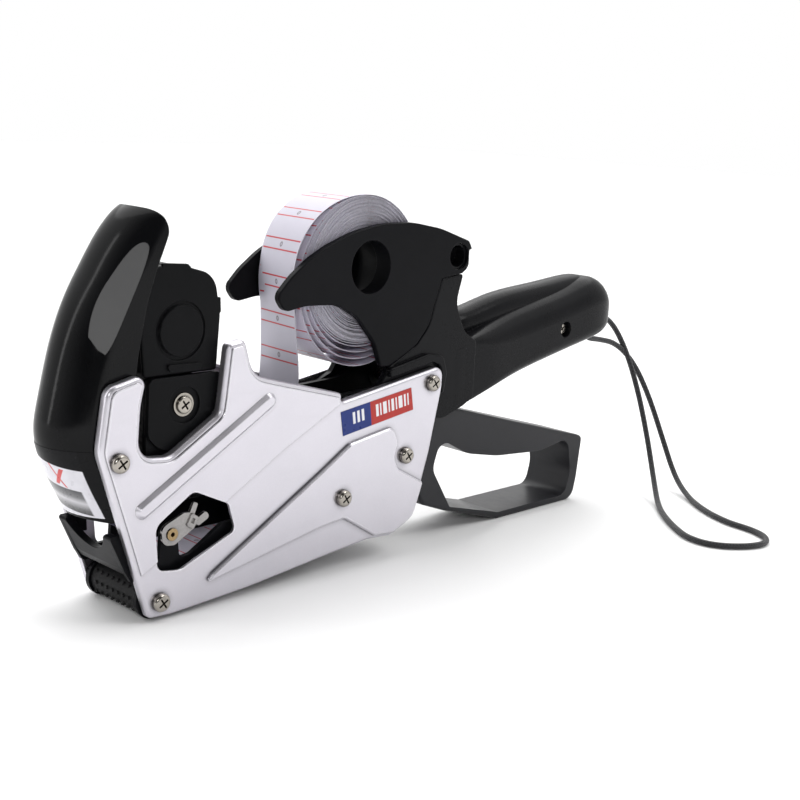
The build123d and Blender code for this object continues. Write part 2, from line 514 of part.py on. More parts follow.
PITCH = 2.3
add("print_bands", *[band(-9.2 + PITCH * k + 0.1, -9.2 + PITCH * (k + 1) - 0.1) for k in range(8)])
for k in range(8):
    y0, y1 = -9.2 + PITCH * k + 0.15, -9.2 + PITCH * (k + 1) - 0.15
    wheel = cyl(KNOB, 5.5, y0, y1) - cyl(KNOB, 2.1, y0 - 1, y1 + 1)
    for j in range(12):
        a = math.radians(30 * j)
        wheel = wheel - cyl((KNOB[0] + 5.6 * math.cos(a), KNOB[1] + 5.6 * math.sin(a)), 0.45, y0 - 1, y1 + 1)
    add("band_wheel_%d" % (k + 1), one(wheel))
add("print_nose", one(cyl(BAND_LOW, 3.5, -9.6, 9.6)))
add("selector_shaft", one(cyl(KNOB, 1.8, -9.0, 14.2)))
knob = tube(KNOB, 7.0, 1.8, 12.9, 21.0)
for j in range(16):
    a = math.radians(22.5 * j)
    knob = knob - cyl((KNOB[0] + 7.35 * math.cos(a), KNOB[1] + 7.35 * math.sin(a)), 0.75, 14.0, 22.0)
knob = knob + cyl(KNOB, 4.0, 20.0, 21.0)
knob = knob - cyl(KNOB, 1.8, 12.0, 14.2)
add("selector_knob", one(knob))

# ---- trigger ----
TRIG = [(-2.0, 45.0, 6), (13.0, 46.6, 8), (34.0, 47.3, 14), (67.6, 38.0, 60), (109.4, 26.6, 0.0), (112.6, 25.4, 2.0), (110.8, 9.0, 12), (108.8, 0.0, 5.5), (62.6, 0.0, 1.5),
        (33.0, 8.6, 6), (21.0, 13.0, 3), (13.6, 24.0, 8), (-4.5, 27.0, 8), (-6.0, 38.0, 8)]
FINGER = [(28.5, 36.4, 6.5), (43.0, 28.8, 22), (60.0, 25.4, 40), (86.0, 23.4, 30), (103.0, 26.2, 5.0), (105.8, 12.0, 10), (103.4, 2.7, 5.0), (62.8, 2.7, 1.0), (35.2, 9.8, 1.5), (25.0, 25.6, 5.5)]


def trigger():
    s = prism(TRIG, -TRIG_HW, TRIG_HW)
    s = soft(s, -TRIG_HW, 1.2)
    s = soft(s, TRIG_HW, 1.2)
    fin = prism(FINGER, -TRIG_HW - 1, TRIG_HW + 1)
    s = s - fin
    # slimmer behind the plates, so that it clears the arm webs
    # tongue to the drive link
    tongue = prism([(-24.6, 38.4, 2.8), (-24.6, 43.2, 2.6), (-19.0, 44.6, 3), (0.0, 44.6, 3), (0.0, 33.0, 3), (-18.6, 37.4, 3)], -6.9, -2.4)
    s = s + tongue + mirror_y(tongue)
    s = s - cyl(PIN_D, 3.0, -20, 20)
    s = s - cyl(LINK_T, 1.55, -20, 20)
    # room for the return spring beside the hub
    s = s - cyl(PIN_D, 6.6, 7.2, 12.0)
    return one(s)


add("trigger", trigger())
# drive link between tongue and arm webs, on two pins
lk = prism(capsule(LINK_T, LINK_A, 3.0), -2.1, 2.1)
lk = lk - cyl(LINK_T, 1.7, -3, 3) - cyl(LINK_A, 1.6, -3, 3)
add("drive_link", one(lk))
add("link_pin_trigger", cyl(LINK_T, 1.5, -7.0, 7.0))
add("link_pin_arm", cyl(LINK_A, 1.5, -13.0, 13.0))
# return spring: four close turns round the trigger shaft
coil = None
for j in range(3):
    t = Solid.make_torus(4.6, 0.55, Plane(origin=(PIN_D[0], 8.0 + 1.15 * j, PIN_D[1]), z_dir=(0, 1, 0)))
    coil = [t] if coil is None else coil + [t]
add("return_spring", *coil)

# ---- feed drive ----
fw = cyl(FEED, 4.35, -10.7, 10.7) - cyl(FEED, 1.6, -11, 11)
add("feed_wheel", one(fw))
rat = cyl(FEED, 4.7, 10.8, 12.1) - cyl(FEED, 1.6, 10.5, 12.5)
for j in range(12):
    a = math.radians(30 * j)
    rat = rat - prism([(FEED[0] + 5.2 * math.cos(a), FEED[1] + 5.2 * math.sin(a)), (FEED[0] + 3.7 * math.cos(a + 0.06), FEED[1] + 3.7 * math.sin(a + 0.06)),
                       (FEED[0] + 5.2 * math.cos(a + 0.5), FEED[1] + 5.2 * math.sin(a + 0.5))], 10.6, 12.4)
add("ratchet_wheel", one(rat))
# lever seen through the left window, with its eyelet
lev = prism([(LEVER[0] - 3.3, LEVER[1] - 3.0, 3.1), (LEVER[0] + 1.0, LEVER[1] - 3.6, 2.5), (-83.6, 26.0, 0.8), (-82.4, 27.6, 0.8), (-84.2, 31.2, 1.0), (-87.4, 31.4, 2.0), (LEVER[0] - 3.9, LEVER[1] + 2.6, 3.1)], -15.2, -14.3)
lev = lev + prism([(-84.6, 28.0, 0.4), (-82.0, 26.6, 0.4), (-78.0, 28.6, 1.0), (-79.4, 30.8, 1.0)], -15.5, -14.3)
lev = lev + prism([(-86.6, 27.4, 0.5), (-84.2, 26.0, 0.5), (-82.0, 29.2, 0.5), (-84.6, 31.0, 0.5)], -15.7, -14.3) - prism([(-85.2, 28.2), (-84.2, 27.6), (-83.4, 28.9), (-84.4, 29.6)], -17, -15.2)
lev = lev + prism([(-85.6, 30.4, 0.4), (-83.8, 29.4, 0.4), (-82.2, 33.6, 0.5), (-83.8, 34.2, 0.5)], -15.2, -14.3)
lev = lev - cyl(LEVER, 1.35, -17, -13)
add("feed_lever", one(lev))
ey = tube(LEVER, 1.3, 0.7, -15.6, -12.4) + tube(LEVER, 1.9, 0.7, -15.6, -15.25)
add("lever_eyelet", one(ey))

# ---- guide roller, gate ----
add("guide_roller", one(cyl(GUIDE, 4.7, -11.0, 11.0) - cyl(GUIDE, 1.65, -12, 12)))
add("cross_pins", *[cyl(c, 1.5, -13.9, 13.9) for c in (GUIDE, FEED, GATE)])
ga = prism([(-61.5, 5.0, 0.5), (-61.2, 6.8, 0.5), (GATE[0] + 1.0, GATE[1] + 2.4, 2.3), (GATE[0] + 2.4, GATE[1] - 1.2, 2.3), (-40.0, 7.0, 2)], -11.9, 11.9)
ga = ga - cyl(GATE, 1.6, -15, 15)
add("bottom_gate", one(ga))

# ---- ink roller and holder ----
add("ink_roller", one(cyl(INK, 4.4, -8.4, 8.4) - cyl(INK, 1.3, -9, 9)))
ih = both(capsule(PIN_A, INK, 2.3), 8.8, 10.1) + tube(PIN_A, 3.9, 2.5, -10.1, 10.1)
ih = ih - cyl(PIN_A, 2.5, -11, 11) - cyl(INK, 1.2, -11, 11)
add("ink_holder", one(ih))
add("ink_axle", cyl(INK, 1.15, -10.1, 10.1))

# ---- front cover: a deep hood, open to the rear ----
def cover_section(z, xf, xb, hw, inset=0.0):
    """Section of the hood at height z: a shallow arc in front, tight corners, flat sides at |y|=hw."""
    hw = hw - inset; xf = xf + inset * 1.18
    s = hw / 13.5
    R, yc = 14.4 * s, 12.9 * s
    xc = xf + R - math.sqrt(R * R - yc * yc)
    a = math.asin(yc / R)                       # turn left to make at the corner is 90 deg less a
    r = (hw - yc) / (1 - math.sin(a))
    xe = xc + r * math.cos(a)
    m = (a + math.pi / 2) / 2
    xm, ym = xe - r * math.cos(m), hw - r + r * math.sin(m)
    e = [Edge.make_line((xb, -hw, z), (xe, -hw, z)), Edge.make_three_point_arc((xe, -hw, z), (xm, -ym, z), (xc, -yc, z)),
         Edge.make_three_point_arc((xc, -yc, z), (xf, 0, z), (xc, yc, z)), Edge.make_three_point_arc((xc, yc, z), (xm, ym, z), (xe, hw, z)),
         Edge.make_line((xe, hw, z), (xb, hw, z)), Edge.make_line((xb, hw, z), (xb, -hw, z))]
    return Wire(e)


COVER_HW = 13.5
# height, front, half width
HOOD = [(26.0, -113.2, 13.5), (33.0, -116.6, 13.5), (38.0, -119.2, 13.5), (44.0, -122.2, 13.5), (50.0, -124.7, 13.5), (55.0, -126.0, 13.5), (60.0, -126.1, 13.5), (65.0, -125.2, 13.5), (72.0, -123.6, 13.5), (79.0, -121.9, 13.5),
        (86.0, -119.8, 13.5), (92.0, -117.5, 13.5), (98.0, -114.6, 13.5), (104.0, -111.1, 13.5), (109.0, -108.1, 13.4), (113.0, -105.5, 13.2), (117.0, -102.4, 12.6), (120.0, -99.5, 11.5), (121.8, -96.9, 9.7), (122.7, -94.4, 7.2)]
REAR_EDGE = [(-130, 20), (-130, 130), (-112.5, 130), (-106.8, 120.6, 5), (-101.5, 122.6, 6), (-93.4, 120.8, 4.5), (-91.6, 115.4, 5), (-96.0, 105.6, 20), (-99.6, 95.0, 20), (-102.6, 80.0, 20),
             (-104.4, 66.0, 20), (-104.6, 44.0, 6), (-104.4, 35.4, 2.5), (-109.8, 31.4, 1.2), (-118.2, 33.0, 6), (-130, 38)]


def front_cover():
    W = 1.1
    o = Solid.make_loft([cover_section(z, xf, -85.0, hw) for z, xf, hw in HOOD])
    # flat facets on the two front corners, each ending below in a shallow V step
    A, B, C = Vector(-116.3, -9.4, 86.0), Vector(-110.0, -13.55, 86.0), Vector(-98.0, -13.15, 111.5)
    nrm = (B - A).cross(C - A).normalized()
    if nrm.Y > 0:
        nrm = nrm * -1
    pl = Plane(origin=A, z_dir=nrm)
    facet = Solid.extrude(Face.make_rect(90, 90, pl), nrm * 12)
    facet = facet & prism([(-123.0, 97.0), (-117.3, 88.6), (-114.9, 83.0), (-112.4, 80.8), (-108.6, 84.0), (-100.0, 90.0), (-92.0, 116.0), (-104.0, 116.0)], -20, 0)
    o = o - facet - mirror_y(facet)
    i = Solid.make_loft([cover_section(z, xf, -84.0, hw, W) for z, xf, hw in HOOD[:16]])
    side = prism(REAR_EDGE, -20, 20)
    o = o & side
    cav = offset_prism_open()
    s = o - (i & cav)
    # slot that lets the ink holder shaft pass as the cover swings
    ring = tube(PIN_P, 16.8, 10.6, -20, 20)
    ring = ring & box(-114.9, -90, -20, 20, 40, 60)
    s = s - ring
    s = s - cyl(PIN_P, 1.35, -20, 20)
    return s


def offset_prism_open():
    """Room inside the hood: everything but its closed top."""
    pts = [(-130, 20), (-130, 112), (-112.0, 116.4), (-106.2, 118.8, 4), (-101.5, 120.9, 5), (-94.6, 119.4, 3.6), (-93.2, 115.2, 3), (-84.0, 110.0), (-84.0, 20)]
    return prism(pts, -20, 20)


cov = front_cover()
add("front_cover", one(cov))


# ---- stickers ----
add("side_sticker", one(prism([(-27.0, 54.8), (-25.6, 46.6), (6.6, 51.4), (5.2, 59.2)], -17.12, -17.0)))


def front_sticker():
    o = Solid.make_loft([cover_section(z, xf - 0.1, -85.0, hw + 0.12) for z, xf, hw in HOOD[:9]])
    i = Solid.make_loft([cover_section(z, xf, -84.0, hw) for z, xf, hw in HOOD[:9]])
    win = prism([(-130, 54.6), (-130, 34.3), (-110.3, 33.0), (-117.7, 54.2)], -20, 20)
    return (o - i) & win


add("front_sticker", one(front_sticker()))

# ---- wrist strap: closed loop of cord through the handle's end ----
STRAP = [(126.2, -0.1, 72.5), (132.0, -0.6, 72.2), (139.0, -2.4, 67.6), (144.6, -6.6, 55.0), (147.0, -12.0, 39.0), (145.6, -19.0, 22.0), (139.6, -27.6, 8.0), (128.8, -37.8, 1.25),
         (117.4, -48.2, 1.2), (107.2, -60.2, 1.2), (99.6, -71.6, 1.2), (99.8, -82.2, 1.2), (108.0, -90.4, 1.2), (117.6, -93.6, 1.2), (125.0, -89.4, 1.2), (128.8, -80.6, 1.2), (129.2, -69.8, 1.2),
         (135.6, -55.0, 1.2), (146.8, -40.0, 1.25), (155.6, -27.4, 5.6), (158.8, -18.0, 19.0), (156.2, -11.4, 36.0), (149.0, -7.2, 51.0), (139.0, -4.4, 60.2), (128.6, -2.8, 62.6), (121.0, -2.4, 63.6), (118.2, -2.2, 66.6)]


def strap():
    P = [Vector(*p) for p in STRAP]
    rad = []
    for i in range(1, len(P) - 1):
        u, v = P[i] - P[i - 1], P[i + 1] - P[i]
        turn = math.radians(u.get_angle(v))
        rad.append(0.45 * min(u.length, v.length) / math.tan(turn / 2))
    print("strap radii", [round(r, 1) for r in rad])
    path = FilletPolyline(*P, radius=rad)
    w = path.wire() if hasattr(path, "wire") else path
    t = sweep(Plane(origin=w @ 0, z_dir=w % 0) * Circle(STRAP_D / 2), path=w)
    L = w.length
    print("strap length %.1f mm, volume %.1f against %.1f" % (L, t.volume, math.pi * STRAP_D ** 2 / 4 * L))
    return t


add("wrist_strap", strap())

# ---- write ----
bb = None
for n, ss in NODES.items():
    sh = ss[0] if len(ss) == 1 else Compound(children=ss)
    export_step(sh, "parts/%s.step" % n)
    if n != "wrist_strap":
        b = sh.bounding_box()
        bb = b if bb is None else bb.add(b)
print("nodes", len(NODES), "box", bb)
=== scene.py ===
import bpy, bmesh, math
from mathutils import Vector, Matrix


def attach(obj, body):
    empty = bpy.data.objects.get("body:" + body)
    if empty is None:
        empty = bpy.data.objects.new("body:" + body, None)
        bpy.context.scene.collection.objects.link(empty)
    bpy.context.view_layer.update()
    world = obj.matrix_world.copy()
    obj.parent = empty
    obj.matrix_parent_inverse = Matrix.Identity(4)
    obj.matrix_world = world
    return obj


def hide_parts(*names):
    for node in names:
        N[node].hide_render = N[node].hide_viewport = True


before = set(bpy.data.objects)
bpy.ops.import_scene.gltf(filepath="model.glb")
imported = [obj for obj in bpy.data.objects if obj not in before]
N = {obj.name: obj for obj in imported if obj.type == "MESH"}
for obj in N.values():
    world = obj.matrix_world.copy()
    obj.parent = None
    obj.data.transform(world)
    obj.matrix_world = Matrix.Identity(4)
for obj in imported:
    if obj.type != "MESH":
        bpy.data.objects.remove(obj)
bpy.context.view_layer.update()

MM = 0.001


# ---------------------------------------------------------------- camera
cam_data = bpy.data.cameras.new("camera")
cam = bpy.data.objects.new("camera", cam_data)
bpy.context.scene.collection.objects.link(cam)
cr, cu, cf = Vector((0.70898, -0.70378, 0.04522)), Vector((0.12029, 0.18386, 0.97556)), Vector((0.69489, 0.68621, -0.21501))
rot = Matrix((cr, cu, -cf)).transposed().to_4x4()
cam.matrix_world = Matrix.Translation((-0.319202, -0.332314, 0.154322)) @ rot
cam_data.lens = 61.163
cam_data.sensor_width = 36.0
cam_data.clip_start = 0.01
bpy.context.scene.camera = cam


# ---------------------------------------------------------------- material helpers
class Mat:
    def __init__(s, name):
        s.m = bpy.data.materials.new(name)
        s.m.use_nodes = True
        s.t = s.m.node_tree
        s.b = next(n for n in s.t.nodes if n.type == "BSDF_PRINCIPLED")
        s._co = None

    def n(s, kind, props=None, **ins):
        nd = s.t.nodes.new(kind)
        for k, v in (props or {}).items():
            setattr(nd, k, v)
        for k, v in ins.items():
            sock = nd.inputs[int(k[1:])] if k[0] == "i" and k[1:].isdigit() else nd.inputs[k.replace("_", " ")]
            if isinstance(v, bpy.types.NodeSocket):
                s.t.links.new(v, sock)
            else:
                sock.default_value = v
        return nd

    def co(s):
        if s._co is None:
            s._co = s.n("ShaderNodeTexCoord")
        return s._co.outputs["Object"]

    def uv(s):
        s.co()
        return s._co.outputs["UV"]

    def xyz(s, vec=None):
        return s.n("ShaderNodeSeparateXYZ", i0=vec or s.co()).outputs

    def math(s, op, a, b=0.0, c=0.0, clamp=False):
        nd = s.n("ShaderNodeMath", {"operation": op, "use_clamp": clamp}, i0=a, i1=b)
        if op in ("MULTIPLY_ADD", "SMOOTH_MIN", "COMPARE", "WRAP", "PINGPONG"):
            nd.inputs[2].default_value = c
        return nd.outputs[0]

    def band(s, x, lo, hi, soft=0.0001):
        """1 where lo < x < hi."""
        a = s.n("ShaderNodeMapRange", {"clamp": True}, i0=x, i1=lo - soft, i2=lo + soft, i3=0.0, i4=1.0).outputs[0]
        b = s.n("ShaderNodeMapRange", {"clamp": True}, i0=x, i1=hi - soft, i2=hi + soft, i3=1.0, i4=0.0).outputs[0]
        return s.math("MULTIPLY", a, b)

    def noise(s, scale, detail=3.0, rough=0.5, vec=None, stretch=None):
        v = vec or s.co()
        if stretch:
            v = s.n("ShaderNodeMapping", None, i0=v, Scale=stretch).outputs[0]
        return s.n("ShaderNodeTexNoise", None, Vector=v, Scale=scale, Detail=detail, Roughness=rough).outputs[0]

    def ramp(s, fac, stops):
        nd = s.n("ShaderNodeValToRGB", None, i0=fac)
        el = nd.color_ramp.elements
        while len(el) < len(stops):
            el.new(0.5)
        for e, (p, c) in zip(el, stops):
            e.position = p
            e.color = c if len(c) == 4 else (*c, 1)
        return nd.outputs[0]

    def mix(s, fac, a, b):
        nd = s.n("ShaderNodeMix", {"data_type": "RGBA"})
        for i, v in ((0, fac), (6, a), (7, b)):
            if isinstance(v, bpy.types.NodeSocket):
                s.t.links.new(v, nd.inputs[i])
            else:
                nd.inputs[i].default_value = v if not isinstance(v, tuple) or len(v) == 4 else (*v, 1)
        return nd.outputs[2]

    def remap(s, x, a, b, c, d):
        return s.n("ShaderNodeMapRange", {"clamp": True}, i0=x, i1=a, i2=b, i3=c, i4=d).outputs[0]

    def edge(s, radius):
        """0 on flat ground, towards 1 at convex and concave edges."""
        bev = s.n("ShaderNodeBevel", {"samples": 4}, Radius=radius).outputs[0]
        geo = s.n("ShaderNodeNewGeometry").outputs["Normal"]
        d = s.n("ShaderNodeVectorMath", {"operation": "DOT_PRODUCT"}, i0=bev, i1=geo).outputs["Value"]
        return s.remap(d, 0.99, 0.85, 0.0, 1.0)

    def crevice(s, dist):
        """1 deep in a crease, 0 in the open."""
        ao = s.n("ShaderNodeAmbientOcclusion", {"samples": 6}, Distance=dist).outputs["AO"]
        return s.remap(ao, 0.55, 0.92, 1.0, 0.0)

    def normal(s, height=None, strength=0.3, dist=0.0001, round_r=None):
        prev = s.n("ShaderNodeBevel", {"samples": 4}, Radius=round_r).outputs[0] if round_r else None
        if height is not None:
            nd = s.n("ShaderNodeBump", None, Strength=strength, Distance=dist, Height=height)
            if prev is not None:
                s.t.links.new(prev, nd.inputs["Normal"])
            prev = nd.outputs[0]
        s.t.links.new(prev, s.b.inputs["Normal"])

    def put(s, **k):
        for key, v in k.items():
            sock = s.b.inputs[key.replace("_", " ")]
            if isinstance(v, bpy.types.NodeSocket):
                s.t.links.new(v, sock)
            else:
                sock.default_value = v if not isinstance(v, tuple) or len(v) == 4 else (*v, 1)
        return s


def plastic(name, base, hi, rough, grain, grain_strength, coat=0.0, round_r=0.00035, spec=0.5):
    """Moulded plastic: fine spark-eroded grain, faint mottling, handling shine and scuffed edges."""
    m = Mat(name)
    big = m.noise(38.0, 4.0, 0.6)
    fine = m.noise(grain, 2.0, 0.5)
    scuff = m.noise(900.0, 5.0, 0.7, stretch=(1.0, 0.25, 0.6))
    e = m.edge(0.0006)
    wear = m.math("MULTIPLY", e, m.remap(scuff, 0.45, 0.75, 0.0, 0.55))
    col = m.mix(m.remap(big, 0.3, 0.7, 0.0, 1.0), base, hi)
    col = m.mix(wear, col, tuple(min(1, c * 3.2 + 0.02) for c in hi[:3]))
    m.put(Base_Color=col, Roughness=m.math("ADD", m.remap(big, 0.25, 0.75, rough - 0.05, rough + 0.07), m.remap(scuff, 0.4, 0.8, 0.0, 0.07)))
    m.b.inputs["Specular IOR Level"].default_value = spec
    m.b.inputs["Coat Weight"].default_value = coat
    m.b.inputs["Coat Roughness"].default_value = 0.12
    m.normal(fine, grain_strength, 0.00006, round_r)
    return m.m


def metal(name, base, rough, brush=(1.0, 1.0, 1.0), scale=1500.0, tint=0.12, round_r=0.0002, strength=0.12, crevice_shade=0.5):
    m = Mat(name)
    b = m.noise(scale, 3.0, 0.6, stretch=brush)
    spots = m.noise(160.0, 4.0, 0.6)
    e = m.edge(0.0004)
    col = m.mix(m.remap(b, 0.3, 0.7, 0.0, 1.0), tuple(c * (1 - tint) for c in base[:3]), tuple(min(1, c * (1 + tint * 0.5)) for c in base[:3]))
    col = m.mix(m.remap(spots, 0.58, 0.75, 0.0, 0.35), col, tuple(c * 0.6 for c in base[:3]))
    # painted highlight: the base colour is lighter along convex and concave edges
    col = m.mix(m.math("MULTIPLY", e, 0.4), col, tuple(min(1, c * 1.25) for c in base[:3]))
    # painted shade: the base colour is darkened towards near black in creases, by an ambient-occlusion mask
    col = m.mix(m.math("MULTIPLY", m.crevice(0.0012), crevice_shade), col, tuple(c * 0.07 for c in base[:3]))
    m.put(Base_Color=col, Roughness=m.remap(b, 0.25, 0.75, rough - 0.06, rough + 0.08))
    m.b.inputs["Metallic"].default_value = 1.0
    m.normal(b, strength, 0.00003, round_r)
    return m.m


BLACK = plastic("black_plastic", (0.0036, 0.0037, 0.0045), (0.0056, 0.0057, 0.0070), 0.26, 2600.0, 0.08, spec=0.06, coat=0.085)
BLACK_TEX = plastic("black_textured", (0.0040, 0.0041, 0.0050), (0.0062, 0.0063, 0.0076), 0.34, 2300.0, 0.14, spec=0.05, coat=0.03)
HEADM = plastic("head_plastic", (0.0036, 0.0038, 0.0043), (0.0058, 0.0059, 0.0068), 0.36, 2000.0, 0.20, spec=0.06, coat=0.02)
COVER = plastic("cover_plastic", (0.0028, 0.0029, 0.0033), (0.0044, 0.0045, 0.0052), 0.15, 3200.0, 0.03, coat=0.17, round_r=0.0005, spec=0.04)
TRIG = plastic("trigger_plastic", (0.013, 0.013, 0.0155), (0.019, 0.019, 0.0225), 0.35, 2400.0, 0.14, spec=0.22, coat=0.05)
STEEL = metal("turned_steel", (0.38, 0.375, 0.37), 0.28, crevice_shade=0.6)
LEVERM = metal("lever_steel", (0.31, 0.30, 0.295), 0.16, tint=0.14, crevice_shade=0.7)
NICKEL = metal("nickel", (0.36, 0.335, 0.30), 0.20, tint=0.10, crevice_shade=0.85)
BRASS = metal("brass", (0.34, 0.245, 0.13), 0.26, crevice_shade=0.9)

# painted plate: satin silver with a fine pearl, a painted highlight along its bent edges and painted shade in its
# creases
m = Mat("plate_paint")
pearl = m.noise(5200.0, 2.0, 0.7)
cloud = m.noise(24.0, 4.0, 0.55)
streak = m.noise(120.0, 5.0, 0.6, stretch=(0.25, 1.0, 1.6))
edge = m.edge(0.0011)
col = m.mix(m.remap(cloud, 0.3, 0.7, 0.0, 1.0), (0.56, 0.545, 0.59), (0.63, 0.61, 0.66))
col = m.mix(m.remap(pearl, 0.45, 0.75, 0.0, 0.25), col, (0.80, 0.78, 0.83))
# painted highlight: the base colour is lighter along the plate's edges
col = m.mix(m.math("MULTIPLY", edge, 0.5), col, (0.86, 0.85, 0.88))
col = m.mix(m.remap(streak, 0.62, 0.8, 0.0, 0.18), col, (0.46, 0.45, 0.49))
# painted shade: the base colour is darkened in creases, by an ambient-occlusion mask
crease = m.crevice(0.0022)
col = m.mix(m.math("MULTIPLY", crease, 0.85), col, (0.16, 0.155, 0.17))
rg = m.remap(m.math("ADD", cloud, m.math("MULTIPLY", streak, 0.5)), 0.5, 1.0, 0.27, 0.38)
m.put(Base_Color=col, Roughness=m.math("SUBTRACT", rg, m.math("MULTIPLY", edge, 0.10)))
m.b.inputs["Metallic"].default_value = 0.88
m.b.inputs["Coat Weight"].default_value = 0.10
m.b.inputs["Coat Roughness"].default_value = 0.15
m.normal(pearl, 0.05, 0.00003, 0.0004)
PLATE = m.m

# rubber
m = Mat("rubber")
g = m.noise(1800.0, 4.0, 0.7)
dust = m.noise(70.0, 4.0, 0.6)
m.put(Base_Color=m.mix(m.remap(dust, 0.45, 0.75, 0.0, 0.6), (0.0060, 0.0060, 0.0066), (0.015, 0.0145, 0.015)), Roughness=m.remap(g, 0.3, 0.7, 0.52, 0.72))
m.b.inputs["Specular IOR Level"].default_value = 0.2
m.normal(g, 0.35, 0.00006, 0.0002)
RUBBER = m.m

m = Mat("ink_foam")
v = m.n("ShaderNodeTexVoronoi", None, Vector=m.co(), Scale=1700.0).outputs[0]
m.put(Base_Color=m.mix(m.remap(v, 0.1, 0.6, 0.0, 1.0), (0.008, 0.006, 0.02), (0.03, 0.024, 0.06)), Roughness=m.remap(v, 0.0, 0.7, 0.35, 0.6))
m.normal(v, 0.6, 0.00015)
INK = m.m

m = Mat("band_rubber")
z = m.xyz()[2]
ribs = m.math("SINE", m.math("MULTIPLY", z, 2900.0))
g = m.noise(1500.0, 3.0, 0.6)
m.put(Base_Color=m.mix(m.remap(g, 0.3, 0.7, 0.0, 1.0), (0.018, 0.016, 0.017), (0.035, 0.03, 0.032)), Roughness=m.remap(g, 0.2, 0.8, 0.5, 0.7))
m.normal(ribs, 0.5, 0.0002)
BAND = m.m

m = Mat("core_card")
g = m.noise(700.0, 5.0, 0.7, stretch=(1.0, 0.2, 1.0))
m.put(Base_Color=m.mix(m.remap(g, 0.3, 0.7, 0.0, 1.0), (0.30, 0.24, 0.17), (0.42, 0.35, 0.26)), Roughness=m.remap(g, 0.2, 0.8, 0.75, 0.9))
m.normal(g, 0.4, 0.0001)
CARD = m.m

m = Mat("clear_window")
g = m.noise(90.0, 3.0, 0.5)
m.put(Base_Color=m.mix(g, (0.80, 0.82, 0.86), (0.90, 0.92, 0.95)), Roughness=m.remap(g, 0.3, 0.7, 0.10, 0.2))
m.b.inputs["Transmission Weight"].default_value = 0.55
m.b.inputs["IOR"].default_value = 1.49
m.normal(g, 0.05, 0.0001, 0.0003)
CLEAR = m.m

# wrist cord: a fine round braid, by curve coordinates
m = Mat("cord_braid")
u = m.xyz(m.uv())
a = m.math("SINE", m.math("ADD", m.math("MULTIPLY", u[0], 1500.0), m.math("MULTIPLY", u[1], 25.0)))
b = m.math("SINE", m.math("SUBTRACT", m.math("MULTIPLY", u[0], 1500.0), m.math("MULTIPLY", u[1], 25.0)))
w = m.math("MAXIMUM", a, b)
fz = m.noise(2500.0, 3.0, 0.7)
m.put(Base_Color=m.mix(m.remap(w, -0.4, 0.9, 0.0, 1.0), (0.004, 0.004, 0.005), (0.020, 0.020, 0.024)), Roughness=m.remap(fz, 0.3, 0.7, 0.55, 0.8))
m.b.inputs["Sheen Weight"].default_value = 0.25
m.b.inputs["Sheen Roughness"].default_value = 0.4
m.normal(m.math("ADD", w, fz), 0.7, 0.0002)
CORD = m.m

# ---- wrist strap: one limp cord, a closed loop through the handle's end
STRAP = [(126.2, -0.1, 72.5), (132.0, -0.6, 72.2), (139.0, -2.4, 67.6), (144.6, -6.6, 55.0), (147.0, -12.0, 39.0), (145.6, -19.0, 22.0), (139.6, -27.6, 8.0), (128.8, -37.8, 1.25),
         (117.4, -48.2, 1.2), (107.2, -60.2, 1.2), (99.6, -71.6, 1.2), (99.8, -82.2, 1.2), (108.0, -90.4, 1.2), (117.6, -93.6, 1.2), (125.0, -89.4, 1.2), (128.8, -80.6, 1.2), (129.2, -69.8, 1.2),
         (135.6, -55.0, 1.2), (146.8, -40.0, 1.25), (155.6, -27.4, 5.6), (158.8, -18.0, 19.0), (156.2, -11.4, 36.0), (149.0, -7.2, 51.0), (139.0, -4.4, 60.2), (128.6, -2.8, 62.6), (121.0, -2.4, 63.6), (118.2, -2.2, 66.6)]
cu_ = bpy.data.curves.new("wrist_cord", "CURVE")
cu_.dimensions = "3D"
sp = cu_.splines.new("NURBS")
sp.points.add(len(STRAP) - 1)
for p_, q in zip(sp.points, STRAP):
    p_.co = (q[0] * MM, q[1] * MM, q[2] * MM, 1.0)
sp.order_u = 3
sp.use_endpoint_u = True
sp.resolution_u = 12
cu_.bevel_depth = 1.1 * MM
cu_.bevel_resolution = 5
cu_.use_fill_caps = True
cord = bpy.data.objects.new("wrist_cord", cu_)
bpy.context.scene.collection.objects.link(cord)
cord.data.materials.append(CORD)
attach(cord, "frame")
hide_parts("wrist_strap")


# ---------------------------------------------------------------- mesh helpers
def piece(name, verts, faces, mat, body, smooth=True, uvs=None, sharp=None):
    me = bpy.data.meshes.new(name)
    me.from_pydata([Vector(v) for v in verts], [], faces)
    if uvs is not None:
        lay = me.uv_layers.new(name="UVMap")
        for poly in me.polygons:
            for li in poly.loop_indices:
                lay.data[li].uv = uvs[me.loops[li].vertex_index]
    me.validate()
    bm = bmesh.new()
    bm.from_mesh(me)
    bmesh.ops.recalc_face_normals(bm, faces=bm.faces)
    bm.to_mesh(me)
    bm.free()
    if smooth:
        me.polygons.foreach_set("use_smooth", [True] * len(me.polygons))
    if sharp:
        me.set_sharp_from_angle(angle=math.radians(sharp))
    o = bpy.data.objects.new(name, me)
    bpy.context.scene.collection.objects.link(o)
    me.materials.append(mat)
    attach(o, body)
    return o


